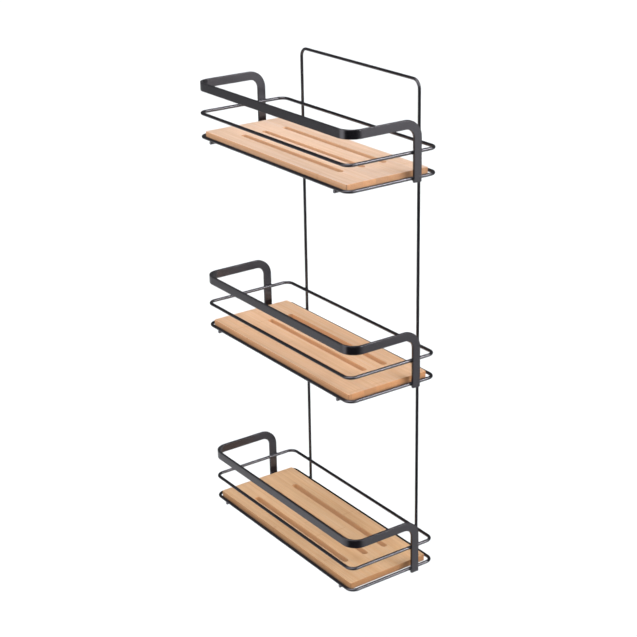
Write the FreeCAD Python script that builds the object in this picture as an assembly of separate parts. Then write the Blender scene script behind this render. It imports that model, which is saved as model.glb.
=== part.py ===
import FreeCAD, Part
import math
import os

# Three-tier hanging shower caddy: a bent-wire back frame, three wire baskets with flat-bar guard rails,
# and a loose slotted bamboo board in each basket.
#
# Frame: origin at the middle of the hanging bar's wire centre line, +X to the right along the shelves,
# +Y towards the wall, +Z up. The back frame's wires lie in the plane Y = 0. Millimetres.

# --- Driving dimensions ---

TIER_NAMES = ("top", "middle", "bottom")
TIER_PITCH = 236.0          # from one tier's upper ring to the next
HANGER_RISE = 65.0          # hanging bar above the top tier's upper ring

FRAME_WIRE = 3.5            # diameter of the back frame's wire
FRAME_SPREAD = 220.0        # between the two uprights' centre lines
FRAME_CORNER = 10.0         # centre-line radius of the hanging bar's corners
FRAME_TAIL = 2.0            # uprights' ends below the lowest ring's centre line

RING_WIRE = 3.8             # diameter of the ring and cross wires
RING_WIDTH = 290.0          # between a ring's side wires, on centre
RING_DEPTH = 118.0          # between a ring's front and back wires, on centre
RING_CORNER = 9.0           # centre-line radius of a ring's corners
RING_SPACING = 28.0         # from a tier's upper ring down to its lower ring
CROSS_WIRE_X = 122.5        # cross wires from the middle of the shelf
CROSS_WIRE_OVERHANG = 0.8   # their ends past the ring wires' centre lines
WELD_SINK = 0.05            # how far welded pieces sink into each other

BAR_HEIGHT = 10.0           # guard rail's flat bar, wide side
BAR_THICKNESS = 3.0
BAR_EDGE = 0.45             # eased edges of the flat bar
RAIL_RISE = 32.0            # flat bar's centre line above the upper ring
RAIL_CORNER = 18.0          # outer radius of the rail's front corners
ELBOW_RADIUS = 16.0         # centre-line radius where an arm turns down into its leg
LEG_SETBACK = 29.5          # leg's centre line in front of the ring's back wire
LEG_TAIL = 4.0              # leg's end below the lower ring's centre line

BOARD_WIDTH = 278.0
BOARD_THICKNESS = 8.0
BOARD_FRONT_GAP = 3.5       # board's front edge behind the front wire's centre line
BOARD_BACK_GAP = 7.0        # board's back edge in front of the back wire's centre line
BOARD_CORNER = 1.5          # rounded upright corners
BOARD_EDGE = 0.5            # eased top and bottom edges
BOARD_CLEARANCE = 0.3       # between the board and the cross wires that carry it
SLOT_COUNT = 3
SLOT_LENGTH = 194.0
SLOT_WIDTH = 7.0
SLOT_PITCH = 28.5
SLOT_EDGE = 0.4             # eased mouth of each slot

WIRE_END_CHAMFER = 0.35
SAME_PLACE = 1e-3           # coordinates nearer than this are the same

# --- Places worked out from them ---

RING_BACK_Y = -((FRAME_WIRE + RING_WIRE) / 2 - WELD_SINK)
RING_FRONT_Y = RING_BACK_Y - RING_DEPTH
RING_SIDE_X = RING_WIDTH / 2
RAIL_OUTER_X = RING_SIDE_X + RING_WIRE / 2 - WELD_SINK + BAR_THICKNESS
RAIL_FRONT_Y = RING_FRONT_Y - RING_WIRE / 2
LEG_Y = RING_BACK_Y - LEG_SETBACK
LOWEST_RING_Z = -HANGER_RISE - (len(TIER_NAMES) - 1) * TIER_PITCH - RING_SPACING
HALF_DIAGONAL = math.sqrt(0.5)


def vec(x, y, z):
    return FreeCAD.Vector(x, y, z)


def line(a, b):
    return Part.LineSegment(a, b).toShape()


def arc(start, centre, end):
    """Quarter circle from start to end about centre."""
    middle = centre + ((start - centre) + (end - centre)) * HALF_DIAGONAL
    return Part.Arc(start, middle, end).toShape()


def sweep_wire(edges, diameter, start, direction):
    """Round wire along a chain of tangent edges that starts at start."""
    path = Part.Wire(edges)
    section = Part.Wire([Part.makeCircle(diameter / 2, start, direction)])
    return path.makePipeShell([section], True, False)


def ease(solid, edges, radius):
    """Round the given edges and return the one solid that results."""
    return solid.makeFillet(radius, edges).Solids[0]


def chamfer(solid, edges, size):
    """Bevel the given edges and return the one solid that results."""
    return solid.makeChamfer(size, edges).Solids[0]


def end_edges(solid, axis, places):
    """Round edges of a straight wire's ends, at the given places along an axis (0, 1, 2 for X, Y, Z)."""
    found = []
    for edge in solid.Edges:
        low = [edge.BoundBox.XMin, edge.BoundBox.YMin, edge.BoundBox.ZMin][axis]
        high = [edge.BoundBox.XMax, edge.BoundBox.YMax, edge.BoundBox.ZMax][axis]
        if high - low < SAME_PLACE and any(abs(low - place) < SAME_PLACE for place in places):
            found.append(edge)
    return found


def back_frame():
    """Inverted U: two uprights joined by the hanging bar, which clears the top tier."""
    x = FRAME_SPREAD / 2
    inner = x - FRAME_CORNER
    foot = LOWEST_RING_Z - FRAME_TAIL
    left_foot = vec(-x, 0, foot)
    left_bend = vec(-x, 0, -FRAME_CORNER)
    bar_left = vec(-inner, 0, 0)
    bar_right = vec(inner, 0, 0)
    right_bend = vec(x, 0, -FRAME_CORNER)
    right_foot = vec(x, 0, foot)
    edges = [
        line(left_foot, left_bend),
        arc(left_bend, vec(-inner, 0, -FRAME_CORNER), bar_left),
        line(bar_left, bar_right),
        arc(bar_right, vec(inner, 0, -FRAME_CORNER), right_bend),
        line(right_bend, right_foot),
    ]
    frame = sweep_wire(edges, FRAME_WIRE, left_foot, vec(0, 0, 1))
    return chamfer(frame, end_edges(frame, 2, [foot]), WIRE_END_CHAMFER)


def ring(z):
    """Closed rounded rectangle of wire; its butt joint is in the middle of the back side."""
    side = RING_SIDE_X
    corner = RING_CORNER
    joint = vec(0, RING_BACK_Y, z)
    edges = []
    at = joint
    turns = [
        (vec(side - corner, RING_BACK_Y, z), vec(side, RING_BACK_Y - corner, z), (1, 1)),
        (vec(side, RING_FRONT_Y + corner, z), vec(side - corner, RING_FRONT_Y, z), (1, -1)),
        (vec(-side + corner, RING_FRONT_Y, z), vec(-side, RING_FRONT_Y + corner, z), (-1, -1)),
        (vec(-side, RING_BACK_Y - corner, z), vec(-side + corner, RING_BACK_Y, z), (-1, 1)),
    ]
    middle_y = (RING_FRONT_Y + RING_BACK_Y) / 2
    for before, after, (x_sign, y_sign) in turns:
        centre = vec(x_sign * (side - corner), middle_y + y_sign * (RING_DEPTH / 2 - corner), z)
        edges.append(line(at, before))
        edges.append(arc(before, centre, after))
        at = after
    edges.append(line(at, joint))
    return sweep_wire(edges, RING_WIRE, joint, vec(1, 0, 0))


def cross_wire(x, ring_z):
    """Straight wire from front to back, welded under the lower ring; it carries the board."""
    z = ring_z - RING_WIRE + WELD_SINK
    front = RING_FRONT_Y - CROSS_WIRE_OVERHANG
    back = RING_BACK_Y + CROSS_WIRE_OVERHANG
    wire = Part.makeCylinder(RING_WIRE / 2, back - front, vec(x, front, z), vec(0, 1, 0))
    return chamfer(wire, end_edges(wire, 1, [front, back]), WIRE_END_CHAMFER)


def rail_front(z_low):
    """Front strip of the rail with its two flatwise corners, as a flat bar on edge."""
    outer = RAIL_OUTER_X
    inner = outer - BAR_THICKNESS
    front = RAIL_FRONT_Y
    inside = front + BAR_THICKNESS
    straight = outer - RAIL_CORNER
    back = front + RAIL_CORNER
    centre_left = vec(-straight, back, z_low)
    centre_right = vec(straight, back, z_low)
    edges = [
        arc(vec(-outer, back, z_low), centre_left, vec(-straight, front, z_low)),
        line(vec(-straight, front, z_low), vec(straight, front, z_low)),
        arc(vec(straight, front, z_low), centre_right, vec(outer, back, z_low)),
        line(vec(outer, back, z_low), vec(inner, back, z_low)),
        arc(vec(inner, back, z_low), centre_right, vec(straight, inside, z_low)),
        line(vec(straight, inside, z_low), vec(-straight, inside, z_low)),
        arc(vec(-straight, inside, z_low), centre_left, vec(-inner, back, z_low)),
        line(vec(-inner, back, z_low), vec(-outer, back, z_low)),
    ]
    return Part.Face(Part.Wire(edges)).extrude(vec(0, 0, BAR_HEIGHT))


def rail_arm(x_low, rail_z, leg_end_z):
    """Side arm that runs back from the corner, turns down edgewise and ends in the leg."""
    half = BAR_HEIGHT / 2
    start = RAIL_FRONT_Y + RAIL_CORNER
    centre_y = LEG_Y - ELBOW_RADIUS
    centre_z = rail_z - ELBOW_RADIUS
    centre = vec(x_low, centre_y, centre_z)
    edges = [
        line(vec(x_low, start, rail_z + half), vec(x_low, centre_y, rail_z + half)),
        arc(vec(x_low, centre_y, rail_z + half), centre, vec(x_low, LEG_Y + half, centre_z)),
        line(vec(x_low, LEG_Y + half, centre_z), vec(x_low, LEG_Y + half, leg_end_z)),
        line(vec(x_low, LEG_Y + half, leg_end_z), vec(x_low, LEG_Y - half, leg_end_z)),
        line(vec(x_low, LEG_Y - half, leg_end_z), vec(x_low, LEG_Y - half, centre_z)),
        arc(vec(x_low, LEG_Y - half, centre_z), centre, vec(x_low, centre_y, rail_z - half)),
        line(vec(x_low, centre_y, rail_z - half), vec(x_low, start, rail_z - half)),
        line(vec(x_low, start, rail_z - half), vec(x_low, start, rail_z + half)),
    ]
    return Part.Face(Part.Wire(edges)).extrude(vec(BAR_THICKNESS, 0, 0))


def guard_rail(upper_z):
    """One flat bar bent round the front and sides, its legs welded outside both rings."""
    rail_z = upper_z + RAIL_RISE
    leg_end_z = upper_z - RING_SPACING - LEG_TAIL
    front = rail_front(rail_z - BAR_HEIGHT / 2)
    left = rail_arm(-RAIL_OUTER_X, rail_z, leg_end_z)
    right = rail_arm(RAIL_OUTER_X - BAR_THICKNESS, rail_z, leg_end_z)
    rail = front.fuse([left, right]).removeSplitter().Solids[0]
    return ease(rail, rail.Edges, BAR_EDGE)


def slot_cutter(y, board_bottom):
    """Round-ended tool for one slot; it stands out of the board by half its thickness above and below."""
    low = board_bottom - BOARD_THICKNESS / 2
    depth = 2 * BOARD_THICKNESS
    straight = (SLOT_LENGTH - SLOT_WIDTH) / 2
    half = SLOT_WIDTH / 2
    body = Part.makeBox(2 * straight, SLOT_WIDTH, depth, vec(-straight, y - half, low))
    ends = [Part.makeCylinder(half, depth, vec(x, y, low)) for x in (-straight, straight)]
    return body.fuse(ends).removeSplitter()


def outline_edges(board, z_low, z_high):
    """The board's edges that lie flat in its top or bottom face, slot mouths included."""
    flat = []
    for edge in board.Edges:
        box = edge.BoundBox
        level = box.ZMax - box.ZMin < SAME_PLACE
        if level and (abs(box.ZMin - z_low) < SAME_PLACE or abs(box.ZMin - z_high) < SAME_PLACE):
            flat.append(edge)
    return flat


def shelf_board(lower_z):
    """Bamboo board with drain slots, loose on the cross wires inside the lower ring."""
    front = RING_FRONT_Y + BOARD_FRONT_GAP
    back = RING_BACK_Y - BOARD_BACK_GAP
    bottom = lower_z - RING_WIRE / 2 + WELD_SINK + BOARD_CLEARANCE
    top = bottom + BOARD_THICKNESS
    middle = (front + back) / 2
    board = Part.makeBox(BOARD_WIDTH, back - front, BOARD_THICKNESS, vec(-BOARD_WIDTH / 2, front, bottom))
    uprights = [edge for edge in board.Edges if edge.BoundBox.ZLength > BOARD_THICKNESS / 2]
    board = ease(board, uprights, BOARD_CORNER)
    board = ease(board, outline_edges(board, bottom, top), BOARD_EDGE)
    for index in range(SLOT_COUNT):
        y = middle + (index - (SLOT_COUNT - 1) / 2) * SLOT_PITCH
        board = board.cut(slot_cutter(y, bottom))
        mouths = [edge for edge in outline_edges(board, bottom, top)
                  if y - SLOT_WIDTH < edge.BoundBox.YMin and edge.BoundBox.YMax < y + SLOT_WIDTH]
        board = chamfer(board, mouths, SLOT_EDGE)
    return board


def tier(name, upper_z):
    """All pieces of one shelf, by node name."""
    lower_z = upper_z - RING_SPACING
    return {
        name + "_upper_ring": ring(upper_z),
        name + "_lower_ring": ring(lower_z),
        name + "_guard_rail": guard_rail(upper_z),
        name + "_left_cross_wire": cross_wire(-CROSS_WIRE_X, lower_z),
        name + "_right_cross_wire": cross_wire(CROSS_WIRE_X, lower_z),
        name + "_shelf_board": shelf_board(lower_z),
    }


def main():
    os.makedirs("parts", exist_ok=True)
    pieces = {"back_frame": back_frame()}
    for index, name in enumerate(TIER_NAMES):
        pieces.update(tier(name, -HANGER_RISE - index * TIER_PITCH))
    for node, shape in pieces.items():
        shape.exportStep("parts/" + node + ".step")
        box = shape.BoundBox
        print(f"{node:26} {shape.ShapeType} valid={shape.isValid()} volume={shape.Volume:9.1f} "
              f"z {box.ZMin:8.2f} to {box.ZMax:8.2f}")


main()
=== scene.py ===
import math
import random

import bmesh
import bpy
from mathutils import Matrix, Vector


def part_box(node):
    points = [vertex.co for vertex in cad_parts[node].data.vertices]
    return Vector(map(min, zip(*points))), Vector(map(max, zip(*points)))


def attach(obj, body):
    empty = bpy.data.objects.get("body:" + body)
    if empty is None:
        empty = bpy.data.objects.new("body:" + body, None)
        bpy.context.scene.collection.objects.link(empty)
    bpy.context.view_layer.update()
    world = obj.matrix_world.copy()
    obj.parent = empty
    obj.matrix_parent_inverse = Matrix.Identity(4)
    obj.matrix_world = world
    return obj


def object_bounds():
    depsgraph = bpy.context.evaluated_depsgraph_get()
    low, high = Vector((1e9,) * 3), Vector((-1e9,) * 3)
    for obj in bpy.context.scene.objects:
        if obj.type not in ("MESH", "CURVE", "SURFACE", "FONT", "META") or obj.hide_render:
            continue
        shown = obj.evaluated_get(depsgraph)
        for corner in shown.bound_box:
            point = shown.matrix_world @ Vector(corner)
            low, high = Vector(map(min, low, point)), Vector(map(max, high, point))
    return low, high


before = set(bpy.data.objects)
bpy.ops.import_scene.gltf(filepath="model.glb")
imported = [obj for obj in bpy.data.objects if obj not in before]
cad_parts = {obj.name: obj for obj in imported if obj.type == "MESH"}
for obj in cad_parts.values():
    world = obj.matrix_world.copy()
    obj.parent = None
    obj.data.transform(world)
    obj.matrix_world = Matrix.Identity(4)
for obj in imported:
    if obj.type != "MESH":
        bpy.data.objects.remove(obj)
cad_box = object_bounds()

# Three-tier hanging shower caddy: black powder-coated wire and flat bar, with a loose slotted bamboo board
# in each basket. Metres, in the row frame: +X right along the shelves, +Y towards the wall, +Z up.

TIERS = ("top", "middle", "bottom")
RACK = "welded_rack"


# --- Node helpers ---

class Graph:
    """A node tree, with short calls for the few kinds of node used here."""

    def __init__(self, tree):
        self.tree = tree
        self.tree.nodes.clear()
        self.coords = self.tree.nodes.new("ShaderNodeTexCoord")

    def node(self, kind, **settings):
        made = self.tree.nodes.new(kind)
        for key, value in settings.items():
            setattr(made, key, value)
        return made

    def feed(self, socket, value):
        """Links a socket's value, or sets it when it is a plain number or tuple."""
        if isinstance(value, bpy.types.NodeSocket):
            self.tree.links.new(value, socket)
        else:
            socket.default_value = value

    def math(self, operation, a, b=0.0):
        made = self.node("ShaderNodeMath", operation=operation)
        for socket, value in zip(made.inputs, (a, b)):
            self.feed(socket, value)
        return made.outputs[0]

    def add(self, a, b):
        return self.math("ADD", a, b)

    def subtract(self, a, b):
        return self.math("SUBTRACT", a, b)

    def multiply(self, a, b):
        return self.math("MULTIPLY", a, b)

    def absolute(self, a):
        return self.math("ABSOLUTE", a)

    def around_zero(self, fraction, spread):
        """Moves a value from 0 to 1 to one centred on 0, of the given whole spread."""
        return self.multiply(self.subtract(fraction, 0.5), spread)

    def scaled(self, vector, scale, shift=(0.0, 0.0, 0.0)):
        made = self.node("ShaderNodeVectorMath", operation="MULTIPLY_ADD")
        self.feed(made.inputs[0], vector)
        self.feed(made.inputs[1], scale)
        self.feed(made.inputs[2], shift)
        return made.outputs[0]

    def dot(self, vector, towards):
        made = self.node("ShaderNodeVectorMath", operation="DOT_PRODUCT")
        self.feed(made.inputs[0], vector)
        self.feed(made.inputs[1], towards)
        return made.outputs["Value"]

    def parts(self, vector):
        made = self.node("ShaderNodeSeparateXYZ")
        self.feed(made.inputs[0], vector)
        return made.outputs

    def vector(self, x, y, z):
        made = self.node("ShaderNodeCombineXYZ")
        for socket, value in zip(made.inputs, (x, y, z)):
            self.feed(socket, value)
        return made.outputs[0]

    def noise(self, vector, detail=2.0, roughness=0.5):
        """Noise from 0 to 1 with features one unit of the given vector apart."""
        made = self.node("ShaderNodeTexNoise")
        self.feed(made.inputs["Vector"], vector)
        self.feed(made.inputs["Scale"], 1.0)
        self.feed(made.inputs["Detail"], detail)
        self.feed(made.inputs["Roughness"], roughness)
        return made.outputs["Fac"]

    def random(self, value):
        """One random number from 0 to 1 for each value."""
        made = self.node("ShaderNodeTexWhiteNoise", noise_dimensions="1D")
        self.feed(made.inputs["W"], value)
        return made.outputs["Value"]

    def step(self, value, low, high):
        """0 below low, 1 above high, smooth between them."""
        made = self.node("ShaderNodeMapRange", interpolation_type="SMOOTHSTEP")
        self.feed(made.inputs["Value"], value)
        self.feed(made.inputs["From Min"], low)
        self.feed(made.inputs["From Max"], high)
        return made.outputs["Result"]

    def fit(self, value, low, high, to_low, to_high):
        """Moves a value between low and high to the same place between to_low and to_high."""
        made = self.node("ShaderNodeMapRange", clamp=True)
        settings = {"Value": value, "From Min": low, "From Max": high, "To Min": to_low, "To Max": to_high}
        for key, setting in settings.items():
            self.feed(made.inputs[key], setting)
        return made.outputs["Result"]

    def mix(self, factor, a, b, blend="MIX"):
        """Blends two colours, which are the Mix node's seventh and eighth inputs and third output."""
        made = self.node("ShaderNodeMix", data_type="RGBA", blend_type=blend)
        self.feed(made.inputs["Factor"], factor)
        self.feed(made.inputs[6], a)
        self.feed(made.inputs[7], b)
        return made.outputs[2]

    def tinted(self, colour, tint):
        return self.mix(1.0, colour, tint, "MULTIPLY")

    def shaded(self, colour, shade):
        return self.tinted(colour, self.vector(shade, shade, shade))

    def bump(self, height, distance, strength=1.0, under=None):
        made = self.node("ShaderNodeBump")
        self.feed(made.inputs["Height"], height)
        self.feed(made.inputs["Distance"], distance)
        self.feed(made.inputs["Strength"], strength)
        if under is not None:
            self.feed(made.inputs["Normal"], under)
        return made.outputs["Normal"]


class Surface(Graph):
    """A new material that ends in one Principled shader."""

    def __init__(self, name):
        self.material = bpy.data.materials.new(name)
        self.material.use_nodes = True
        super().__init__(self.material.node_tree)
        self.shader = self.node("ShaderNodeBsdfPrincipled")
        output = self.node("ShaderNodeOutputMaterial")
        self.tree.links.new(self.shader.outputs["BSDF"], output.inputs["Surface"])


def grey(value):
    return (value, value, value, 1.0)


# --- Materials ---

# colours are linear, lengths in metres
COAT_DARK = (0.0045, 0.0042, 0.0055, 1.0)
COAT_LIGHT = (0.0085, 0.0078, 0.0100, 1.0)
COAT_FLECK = (0.03, 0.03, 0.034, 1.0)
COAT_WORN = (0.11, 0.11, 0.12, 1.0)
COAT_TINT = (1.0, 0.95, 1.02, 1.0)
COAT_IOR = 1.62
PEBBLES, GRIT, PATCHES = 1100.0, 3600.0, 38.0   # features to the metre


def powder_coat(name, bare_ends=False, seed=0.0):
    """Satin black powder coat: pebbled, a little duller in places, thin on cut ends if bare_ends."""
    g = Surface(name)
    place = g.coords.outputs["Object"]
    shift = (seed, seed * 0.7, -seed)
    pebble = g.noise(g.scaled(place, (PEBBLES,) * 3, shift), 2.0, 0.55)
    grit = g.noise(g.scaled(place, (GRIT,) * 3, shift), 1.0, 0.5)
    patch = g.noise(g.scaled(place, (PATCHES,) * 3, shift), 3.0, 0.6)
    colour = g.mix(g.fit(patch, 0.3, 0.7, 0.0, 1.0), COAT_DARK, COAT_LIGHT)
    fleck = g.step(grit, 0.70, 0.78)
    colour = g.mix(g.multiply(fleck, 0.30), colour, COAT_FLECK)
    rough = g.add(g.fit(patch, 0.25, 0.75, 0.20, 0.27), g.around_zero(grit, 0.06))
    if bare_ends:
        along = g.absolute(g.parts(g.coords.outputs["Normal"])[1])
        end = g.step(along, 0.86, 0.97)
        worn = g.multiply(end, g.fit(patch, 0.2, 0.6, 0.55, 1.0))
        colour = g.mix(worn, colour, COAT_WORN)
        rough = g.add(rough, g.multiply(worn, 0.12))
    g.feed(g.shader.inputs["Base Color"], colour)
    g.feed(g.shader.inputs["Roughness"], rough)
    g.shader.inputs["IOR"].default_value = COAT_IOR
    g.shader.inputs["Specular Tint"].default_value = COAT_TINT
    normal = g.bump(pebble, 0.00006, 0.5)
    g.feed(g.shader.inputs["Normal"], g.bump(grit, 0.00002, 0.35, normal))
    return g.material


BAMBOO_LIGHT = (0.640, 0.385, 0.200)
BAMBOO_PALE = (0.560, 0.385, 0.235)
BAMBOO_MID = (0.560, 0.310, 0.140)
BAMBOO_DEEP = (0.400, 0.195, 0.072)
SIDE_TINT = (1.02, 0.82, 0.62)
# slot wall colour with painted light: it tints the lightest bamboo colour
LIT_SLOT_TINT = (1.02, 0.84, 0.62)
# colour of the painted shade low on the board's sides
PAINTED_SHADE_TINT = (0.50, 0.45, 0.45)
CORNER_TINT = (0.80, 0.75, 0.75)
BAMBOO_IOR = 1.5
STRIP_WIDTH = 0.0165
STRIP_WOBBLE = 0.0006
STRIP_SLIDE = 7.0           # how far the fibres of two strips may be apart along the culm
KNUCKLE_PERIOD = 0.23
KNUCKLE_OUTER, KNUCKLE_INNER = 0.0085, 0.0022   # half-widths where it fades out and is full, in periods
GLUE_OUTER, GLUE_INNER = 0.013, 0.004           # the same for a glue line, in strip widths
# painted shade: where the sides start to darken above the underside, and where they are fully dark
PAINTED_SHADE_TOP, PAINTED_SHADE_FULL = 0.0034, 0.0004      # above the board's underside
# upright faces are slot walls from the second distance inside the board's outline on, and not up to the first
SLOT_END_MARGIN = (0.012, 0.016)
SLOT_SIDE_MARGIN = (0.006, 0.010)


def times(colour, tint):
    """A colour times a tint, channel by channel, with full alpha."""
    return (colour[0] * tint[0], colour[1] * tint[1], colour[2] * tint[2], 1.0)


class Bamboo(Surface):
    """Edge-glued bamboo strips along X, sanded and oiled, with knuckles, end grain and routed slots."""

    def __init__(self, name, board, seed, tone, painted_side_shade):
        super().__init__(name)
        self.low, self.high = board
        self.seed = seed
        self.painted_side_shade = painted_side_shade
        self.place = self.coords.outputs["Object"]
        self.x, self.y, self.z = self.parts(self.place)
        self.facing = [self.absolute(part) for part in self.parts(self.coords.outputs["Normal"])]
        # tone is the board's colour, partly painted light: higher boards lighter and paler
        self.light = times(BAMBOO_LIGHT, tone)
        self.pale = times(BAMBOO_PALE, tone)
        self.mid = times(BAMBOO_MID, tone)
        self.deep = times(BAMBOO_DEEP, tone)

        self.lay_strips()
        colour = self.sides(self.joints(self.fibres()))
        self.feed(self.shader.inputs["Base Color"], self.slot_walls(self.corners(colour)))
        self.gloss_and_relief()

    def lay_strips(self):
        """Strips across the board, each with its own tone and its own stretch of fibres."""
        seed = self.seed
        wobble = self.noise(self.scaled(self.place, (5.0,) * 3, (seed, 0, 0)), 1.0)
        shifted = self.add(self.y, self.around_zero(wobble, STRIP_WOBBLE))
        across = self.math("DIVIDE", self.add(shifted, 0.5 + seed * 0.0041), STRIP_WIDTH)
        strip = self.math("FLOOR", across)
        self.within = self.math("FRACT", across)
        self.strip_tone = self.random(self.add(strip, seed * 13.7))
        self.slide = self.multiply(self.random(self.add(strip, seed * 5.3 + 90.0)), STRIP_SLIDE)
        ground_y = self.add(self.y, self.multiply(strip, 0.37))
        self.ground = self.vector(self.add(self.x, self.slide), ground_y, self.z)

    def fibres(self):
        seed, ground = self.seed, self.ground
        bands = self.noise(self.scaled(ground, (4.0, 230.0, 230.0), (seed, 0, 0)), 2.0, 0.55)
        self.fibre = self.noise(self.scaled(ground, (14.0, 900.0, 900.0), (0, seed, 0)), 3.0, 0.6)
        self.hairs = self.noise(self.scaled(ground, (40.0, 2600.0, 2600.0), (0, 0, seed)), 2.0, 0.5)
        dashes = self.noise(self.scaled(ground, (70.0, 1700.0, 1700.0), (seed, seed, 0)), 1.0)
        cloud = self.noise(self.scaled(self.place, (9.0, 22.0, 22.0), (seed * 3.0, 0, 0)), 2.0, 0.5)
        greyed = self.noise(self.scaled(ground, (6.0, 420.0, 420.0), (0, 0, seed * 2.0)), 2.0, 0.5)
        colour = self.mix(self.fit(bands, 0.30, 0.70, 0.0, 1.0), self.mid, self.light)
        colour = self.mix(self.multiply(self.step(greyed, 0.50, 0.66), 0.40), colour, self.pale)
        colour = self.mix(self.multiply(self.fit(self.fibre, 0.35, 0.68, 0.0, 1.0), 0.36), colour, self.deep)
        colour = self.mix(self.multiply(self.step(dashes, 0.62, 0.74), 0.35), colour, self.deep)
        tone = self.fit(self.strip_tone, 0.0, 1.0, 0.93, 1.05)
        return self.shaded(colour, self.add(tone, self.around_zero(cloud, 0.16)))

    def joints(self, colour):
        """Knuckles, a faint darker band across each strip at its own place, and glue lines between strips."""
        along = self.add(self.add(self.x, self.slide), self.around_zero(self.fibre, 0.004))
        turn = self.math("FRACT", self.math("DIVIDE", along, KNUCKLE_PERIOD))
        self.knuckle = self.step(self.absolute(self.subtract(turn, 0.5)), KNUCKLE_OUTER, KNUCKLE_INNER)
        colour = self.mix(self.multiply(self.knuckle, 0.30), colour, self.deep)
        edge = self.math("MINIMUM", self.within, self.subtract(1.0, self.within))
        self.glue = self.step(edge, GLUE_OUTER, GLUE_INNER)
        return self.mix(self.multiply(self.glue, 0.38), colour, self.deep)

    def sides(self, colour):
        """Deeper colour on ends and long sides, with fibre ends as dots on the ends, and painted shade: sides
        darker low down and on lower boards.
        """
        self.flat = self.step(self.facing[2], 0.55, 0.92)
        end = self.step(self.facing[0], 0.55, 0.85)
        dots = self.noise(self.scaled(self.place, (300.0, 1500.0, 1500.0), (self.seed, 0, 0)), 2.0, 0.6)
        end_colour = self.mix(self.fit(dots, 0.35, 0.65, 0.0, 1.0), self.deep, self.mid)
        end_colour = self.shaded(end_colour, self.fit(self.strip_tone, 0.0, 1.0, 0.86, 1.22))
        colour = self.mix(self.multiply(end, 0.75), colour, end_colour)
        # painted shade: each board's sides are lighter or darker by tier, darker lower down, standing in for
        # less light reaching the lower boards
        side_tint_and_shade = times(SIDE_TINT, (self.painted_side_shade,) * 3)
        colour = self.tinted(colour, self.mix(self.flat, side_tint_and_shade, grey(1.0)))
        # painted shade: the sides darken towards the underside, where the ring wire below shades them
        low_down = self.step(self.z, self.low.z + PAINTED_SHADE_TOP, self.low.z + PAINTED_SHADE_FULL)
        painted_shade = self.multiply(low_down, self.subtract(1.0, self.flat))
        return self.mix(self.multiply(painted_shade, 0.60), colour, times(self.deep, PAINTED_SHADE_TINT))

    def corners(self, colour):
        """Upright corners are darker."""
        corner = self.multiply(self.step(self.facing[0], 0.18, 0.45), self.step(self.facing[1], 0.18, 0.45))
        return self.mix(self.multiply(corner, 0.85), colour, times(self.deep, CORNER_TINT))

    def slot_walls(self, colour):
        """Routed slot walls are cut clean and deeper in colour than the top faces, and painted light makes
        them as light as the lightest bamboo, standing in for light reaching into the slots.
        """
        end_outer, end_inner = SLOT_END_MARGIN
        side_outer, side_inner = SLOT_SIDE_MARGIN
        inside_x = self.step(self.absolute(self.x), self.high.x - end_outer, self.high.x - end_inner)
        half_y = (self.high.y - self.low.y) / 2
        from_middle = self.absolute(self.subtract(self.y, (self.low.y + self.high.y) / 2))
        inside_y = self.step(from_middle, half_y - side_outer, half_y - side_inner)
        wall = self.multiply(self.multiply(inside_x, inside_y), self.step(self.facing[2], 0.80, 0.45))
        # painted light: the walls take the plain lightest bamboo colour, standing in for light reaching into
        # the slots
        return self.mix(self.multiply(wall, 0.75), colour, times(self.light, LIT_SLOT_TINT))

    def gloss_and_relief(self):
        """Gloss and relief: duller sides, sunk glue lines, raised knuckles."""
        rough = self.fit(self.fibre, 0.3, 0.7, 0.43, 0.52)
        duller = self.multiply(self.subtract(1.0, self.flat), 0.16)
        self.feed(self.shader.inputs["Roughness"], self.add(rough, duller))
        self.shader.inputs["IOR"].default_value = BAMBOO_IOR
        height = self.add(self.multiply(self.fibre, 0.6), self.multiply(self.hairs, 0.4))
        height = self.subtract(height, self.multiply(self.glue, 0.8))
        height = self.add(height, self.multiply(self.knuckle, 0.5))
        self.feed(self.shader.inputs["Normal"], self.bump(height, 0.00007, 0.55))


def assign(node, material):
    """Gives a carried-over CAD node one material on all its faces."""
    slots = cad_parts[node].data.materials
    if len(slots) == 0:
        slots.append(material)
    for index in range(len(slots)):
        slots[index] = material


# --- Weld beads ---

# half-lengths along X, Y and Z
CROSS_BEAD = (0.00115, 0.0013, 0.00085)
LEG_BEAD = (0.00085, 0.0023, 0.00085)
LEG_FRONT_BEAD = (0.0010, 0.0012, 0.0015)
UPRIGHT_BEAD = (0.00085, 0.0010, 0.0016)
CROSS_BEAD_LIFT = 0.0001    # above the ring wire's lowest point
CROSS_BEAD_SPREAD = 0.0012  # either side of a cross wire's centre line
CROSS_BEAD_INWARD = 0.0010  # inside the ring wire's centre line
WELD_OFFSET = 0.00135       # from a wire's centre line to its beads'
LEG_FRONT_OFFSET = 0.0012   # outside the ring wire's centre line, for the bead at a leg's front edge
LEG_FRONT_GAP = 0.0002      # in front of that edge
LEG_SHARES = (-0.34, 0.0, 0.34)                 # places of a leg's beads, in leg widths
UPRIGHT_BEAD_SHIFT = 0.0001
LEG_WIDTH = 0.010
LEG_SETBACK = 0.0295        # middle of a leg, in front of the ring's back wire


def bead(mesh, centre, size, rng):
    """Lumpy ellipsoid of weld metal, size being its three half-lengths."""
    made = bmesh.ops.create_icosphere(mesh, subdivisions=3, radius=1.0)
    phase = [rng.uniform(0.0, math.tau) for _ in range(3)]
    for vert in made["verts"]:
        n = vert.co.normalized()
        lump = 1.0 + 0.07 * math.sin(5.0 * n.x + phase[0]) + 0.06 * math.sin(6.0 * n.y + phase[1])
        lump += 0.05 * math.sin(7.0 * n.z + phase[2])
        vert.co = Vector((n.x * size[0], n.y * size[1], n.z * size[2])) * lump + centre


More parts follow.
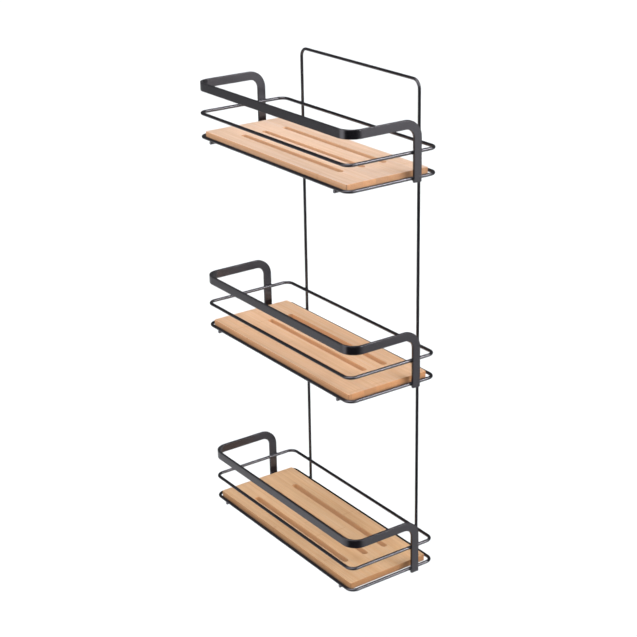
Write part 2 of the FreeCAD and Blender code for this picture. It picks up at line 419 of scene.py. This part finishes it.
def cross_wire_beads(mesh, tier, rng):
    """Two beads where each end of a cross wire passes under the lower ring."""
    low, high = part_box(tier + "_lower_ring")
    wire = (high.z - low.z) / 2
    under = (low.z + high.z) / 2 - wire + CROSS_BEAD_LIFT
    for side in ("left", "right"):
        cross_low, cross_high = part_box(f"{tier}_{side}_cross_wire")
        x = (cross_low.x + cross_high.x) / 2
        for y, inward in ((low.y + wire, 1.0), (high.y - wire, -1.0)):
            for dx in (-1.0, 1.0):
                place = Vector((x + dx * CROSS_BEAD_SPREAD, y + inward * CROSS_BEAD_INWARD, under))
                bead(mesh, place, CROSS_BEAD, rng)


def leg_beads(mesh, side_x, leg_y, heights, rng):
    """Runs of beads above and below each ring's wire along a leg, and one at the leg's front edge."""
    for sign in (-1.0, 1.0):
        for z in heights:
            for dz in (-1.0, 1.0):
                for share in LEG_SHARES:
                    x = sign * (side_x + WELD_OFFSET)
                    bead(mesh, Vector((x, leg_y + share * LEG_WIDTH, z + dz * WELD_OFFSET)), LEG_BEAD, rng)
            x = sign * (side_x + LEG_FRONT_OFFSET)
            bead(mesh, Vector((x, leg_y - LEG_WIDTH / 2 - LEG_FRONT_GAP, z)), LEG_FRONT_BEAD, rng)


def upright_beads(mesh, back_y, heights, rng):
    """Beads either side of each upright, whose wire radius is how far the frame reaches behind Y = 0."""
    frame_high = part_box("back_frame")[1]
    upright_x = frame_high.x - frame_high.y
    for sign in (-1.0, 1.0):
        for z in heights:
            for dx in (-1.0, 1.0):
                place = Vector((sign * upright_x + dx * WELD_OFFSET, back_y / 2 - UPRIGHT_BEAD_SHIFT, z))
                bead(mesh, place, UPRIGHT_BEAD, rng)


def weld_beads(tier, rng):
    """All of one tier's beads: cross wires under the lower ring, legs on the rings, rings on the uprights."""
    mesh = bmesh.new()
    low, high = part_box(tier + "_lower_ring")
    wire = (high.z - low.z) / 2
    upper_low, upper_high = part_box(tier + "_upper_ring")
    heights = ((low.z + high.z) / 2, (upper_low.z + upper_high.z) / 2)
    cross_wire_beads(mesh, tier, rng)
    back_y = high.y - wire
    leg_beads(mesh, high.x - wire, back_y - LEG_SETBACK, heights, rng)
    upright_beads(mesh, back_y, heights, rng)

    data = bpy.data.meshes.new("weld_beads_" + tier)
    mesh.to_mesh(data)
    mesh.free()
    data.shade_smooth()
    beads = bpy.data.objects.new("weld_beads_" + tier, data)
    bpy.context.scene.collection.objects.link(beads)
    return beads


# --- Looks ---

# each board's colour on its faces, and its sides' brightness, both partly painted light
# partly each board's own colour, partly painted light: higher boards lighter and paler, standing in for the
# stronger light up there
TONES_AND_PAINTED_LIGHT = {"top": (0.92, 1.09, 1.60), "middle": (0.95, 1.02, 1.27), "bottom": (0.84, 0.90, 1.02)}
# painted shade: the sides of lower boards are darker, standing in for less light reaching them
PAINTED_SIDE_SHADES = {"top": 1.07, "middle": 0.96, "bottom": 0.84}

rng = random.Random(11)
coat = powder_coat("powder_coat_black")
coat_wire = powder_coat("powder_coat_black_wire", bare_ends=True, seed=3.1)
coat_weld = powder_coat("powder_coat_black_weld", seed=7.7)

assign("back_frame", coat)
for index, tier in enumerate(TIERS):
    for piece in ("upper_ring", "lower_ring", "guard_rail"):
        assign(f"{tier}_{piece}", coat)
    for piece in ("left_cross_wire", "right_cross_wire"):
        assign(f"{tier}_{piece}", coat_wire)
    board = tier + "_shelf_board"
    seed = 2.3 + 4.1 * index
    assign(board, Bamboo("bamboo_" + tier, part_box(board), seed, TONES_AND_PAINTED_LIGHT[tier], PAINTED_SIDE_SHADES[tier]).material)
    beads = weld_beads(tier, rng)
    beads.data.materials.append(coat_weld)
    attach(beads, RACK)


# --- Studio ---

SKY_LOW, SKY_HIGH = 0.12, 2.20
SWEEP = 1.05
DARK_SIDE_DEG = -48.0       # azimuth that the sweep is darkest towards
# azimuth from +X towards +Y, elevation, full inside, nothing outside, strength
SOFTBOXES = (
    (-103.0, -6.0, 4.0, 26.0, 2.40),
    (-98.0, 24.0, 8.0, 28.0, 2.10),
    (36.0, -4.0, 4.0, 17.0, 2.20),
    (19.0, 22.0, 3.0, 10.0, 24.0),
    (-60.0, 44.0, 12.0, 36.0, 2.60),
    (-60.0, 76.0, 12.0, 34.0, 3.30),
    (42.0, 30.0, 3.0, 8.0, 58.0),
)


def floor_material():
    g = Surface("studio_floor")
    tone = g.noise(g.scaled(g.coords.outputs["Object"], (1.3, 1.3, 1.3)), 2.0, 0.5)
    g.feed(g.shader.inputs["Base Color"], g.mix(tone, grey(0.462), grey(0.474)))
    g.feed(g.shader.inputs["Roughness"], 0.85)
    g.shader.inputs["Emission Color"].default_value = grey(1.0)
    g.shader.inputs["Emission Strength"].default_value = 0.10
    return g.material


def wall_material():
    g = Surface("studio_wall")
    g.shader.inputs["Base Color"].default_value = grey(0.0)
    g.shader.inputs["Specular IOR Level"].default_value = 0.0
    g.shader.inputs["Emission Color"].default_value = grey(1.0)
    g.shader.inputs["Emission Strength"].default_value = 1.03
    return g.material


def towards(azimuth_deg, elevation_deg):
    a, e = math.radians(azimuth_deg), math.radians(elevation_deg)
    return (math.cos(a) * math.cos(e), math.sin(a) * math.cos(e), math.sin(e))


def softbox(g, direction, azimuth_deg, elevation_deg, inner_deg, outer_deg, strength):
    """A round light with a soft edge, from full at the inner radius to nothing at the outer one."""
    nearness = g.dot(direction, towards(azimuth_deg, elevation_deg))
    edge = g.step(nearness, math.cos(math.radians(outer_deg)), math.cos(math.radians(inner_deg)))
    return g.multiply(edge, strength)


def studio_world():
    """Dome bright overhead, softboxes round the rack, and below a white sweep, dark at the front right."""
    world = bpy.data.worlds.new("studio_world")
    bpy.context.scene.world = world
    world.use_nodes = True
    g = Graph(world.node_tree)
    direction = g.coords.outputs["Generated"]
    height = g.parts(direction)[2]
    sky = g.add(SKY_LOW, g.multiply(g.step(height, 0.78, 0.98), SKY_HIGH - SKY_LOW))
    above = g.step(height, -0.10, 0.02)
    open_side = g.step(g.dot(direction, towards(DARK_SIDE_DEG, 0.0)), 0.75, 0.10)
    sweep = g.multiply(g.multiply(g.step(height, 0.03, -0.58), open_side), SWEEP)
    total = g.add(g.multiply(above, sky), g.add(sweep, 0.01))
    for box in SOFTBOXES:
        total = g.add(total, softbox(g, direction, *box))
    background = g.node("ShaderNodeBackground")
    cool = g.vector(g.multiply(total, 0.985), total, g.multiply(total, 1.02))
    g.feed(background.inputs["Color"], cool)
    output = g.node("ShaderNodeOutputWorld")
    g.tree.links.new(background.outputs["Background"], output.inputs["Surface"])


FLOOR_HALF = 60.0
FLOOR_DROP = 0.40           # floor below the lowest point of the rack
WALL_RADIUS, WALL_HEIGHT, WALL_SIDES = 12.0, 12.0, 64

floor_z = cad_box[0].z - FLOOR_DROP
floor_corners = [(x * FLOOR_HALF, y * FLOOR_HALF, floor_z) for x, y in ((-1, -1), (1, -1), (1, 1), (-1, 1))]
floor_data = bpy.data.meshes.new("studio_floor")
floor_data.from_pydata(floor_corners, [], [(0, 1, 2, 3)])
floor = bpy.data.objects.new("studio_floor", floor_data)
bpy.context.scene.collection.objects.link(floor)
floor_data.materials.append(floor_material())
floor.visible_glossy = False
floor.visible_diffuse = False

# a white wall right round, seen by the camera only, so that level views have no horizon
wall_mesh = bmesh.new()
bmesh.ops.create_cone(
    wall_mesh, segments=WALL_SIDES, radius1=WALL_RADIUS, radius2=WALL_RADIUS, depth=WALL_HEIGHT)
wall_data = bpy.data.meshes.new("studio_wall")
wall_mesh.to_mesh(wall_data)
wall_mesh.free()
wall = bpy.data.objects.new("studio_wall", wall_data)
wall.location = (0.0, 0.0, floor_z + WALL_HEIGHT / 2)
bpy.context.scene.collection.objects.link(wall)
wall_data.materials.append(wall_material())
for seen_by in ("visible_diffuse", "visible_glossy", "visible_transmission", "visible_shadow"):
    setattr(wall, seen_by, False)

studio_world()

scene = bpy.context.scene
scene.view_settings.view_transform = "Standard"
scene.view_settings.look = "None"
scene.view_settings.exposure = 0.0
scene.view_settings.gamma = 1.0

# --- Camera, at the photograph's viewing angle ---

AZIMUTH_DEG, ELEVATION_DEG, ROLL_DEG = 55.2355, 21.7773, -1.0798
DISTANCE = 1.7395
TARGET = Vector((0.0, -0.0758, -0.3260))
SLIDE_RIGHT, SLIDE_UP = 0.0128, 0.0355
SENSOR_MM, LENS_MM = 36.0, 84.222

# azimuth is measured from straight in front of the rack towards its right
back = Vector(towards(AZIMUTH_DEG - 90.0, ELEVATION_DEG))
flat_right = (-back).cross(Vector((0.0, 0.0, 1.0))).normalized()
flat_up = flat_right.cross(-back)
roll = math.radians(ROLL_DEG)
right = flat_right * math.cos(roll) + flat_up * math.sin(roll)
up = flat_up * math.cos(roll) - flat_right * math.sin(roll)
place = TARGET + back * DISTANCE + right * SLIDE_RIGHT + up * SLIDE_UP

camera_data = bpy.data.cameras.new("camera")
camera_data.sensor_width = SENSOR_MM
camera_data.lens = LENS_MM
camera_data.clip_start = 0.05
camera_data.clip_end = 50.0
camera = bpy.data.objects.new("camera", camera_data)
scene.collection.objects.link(camera)
turn = Matrix((right, up, back)).transposed()
camera.matrix_world = Matrix.Translation(place) @ turn.to_4x4()
scene.camera = camera
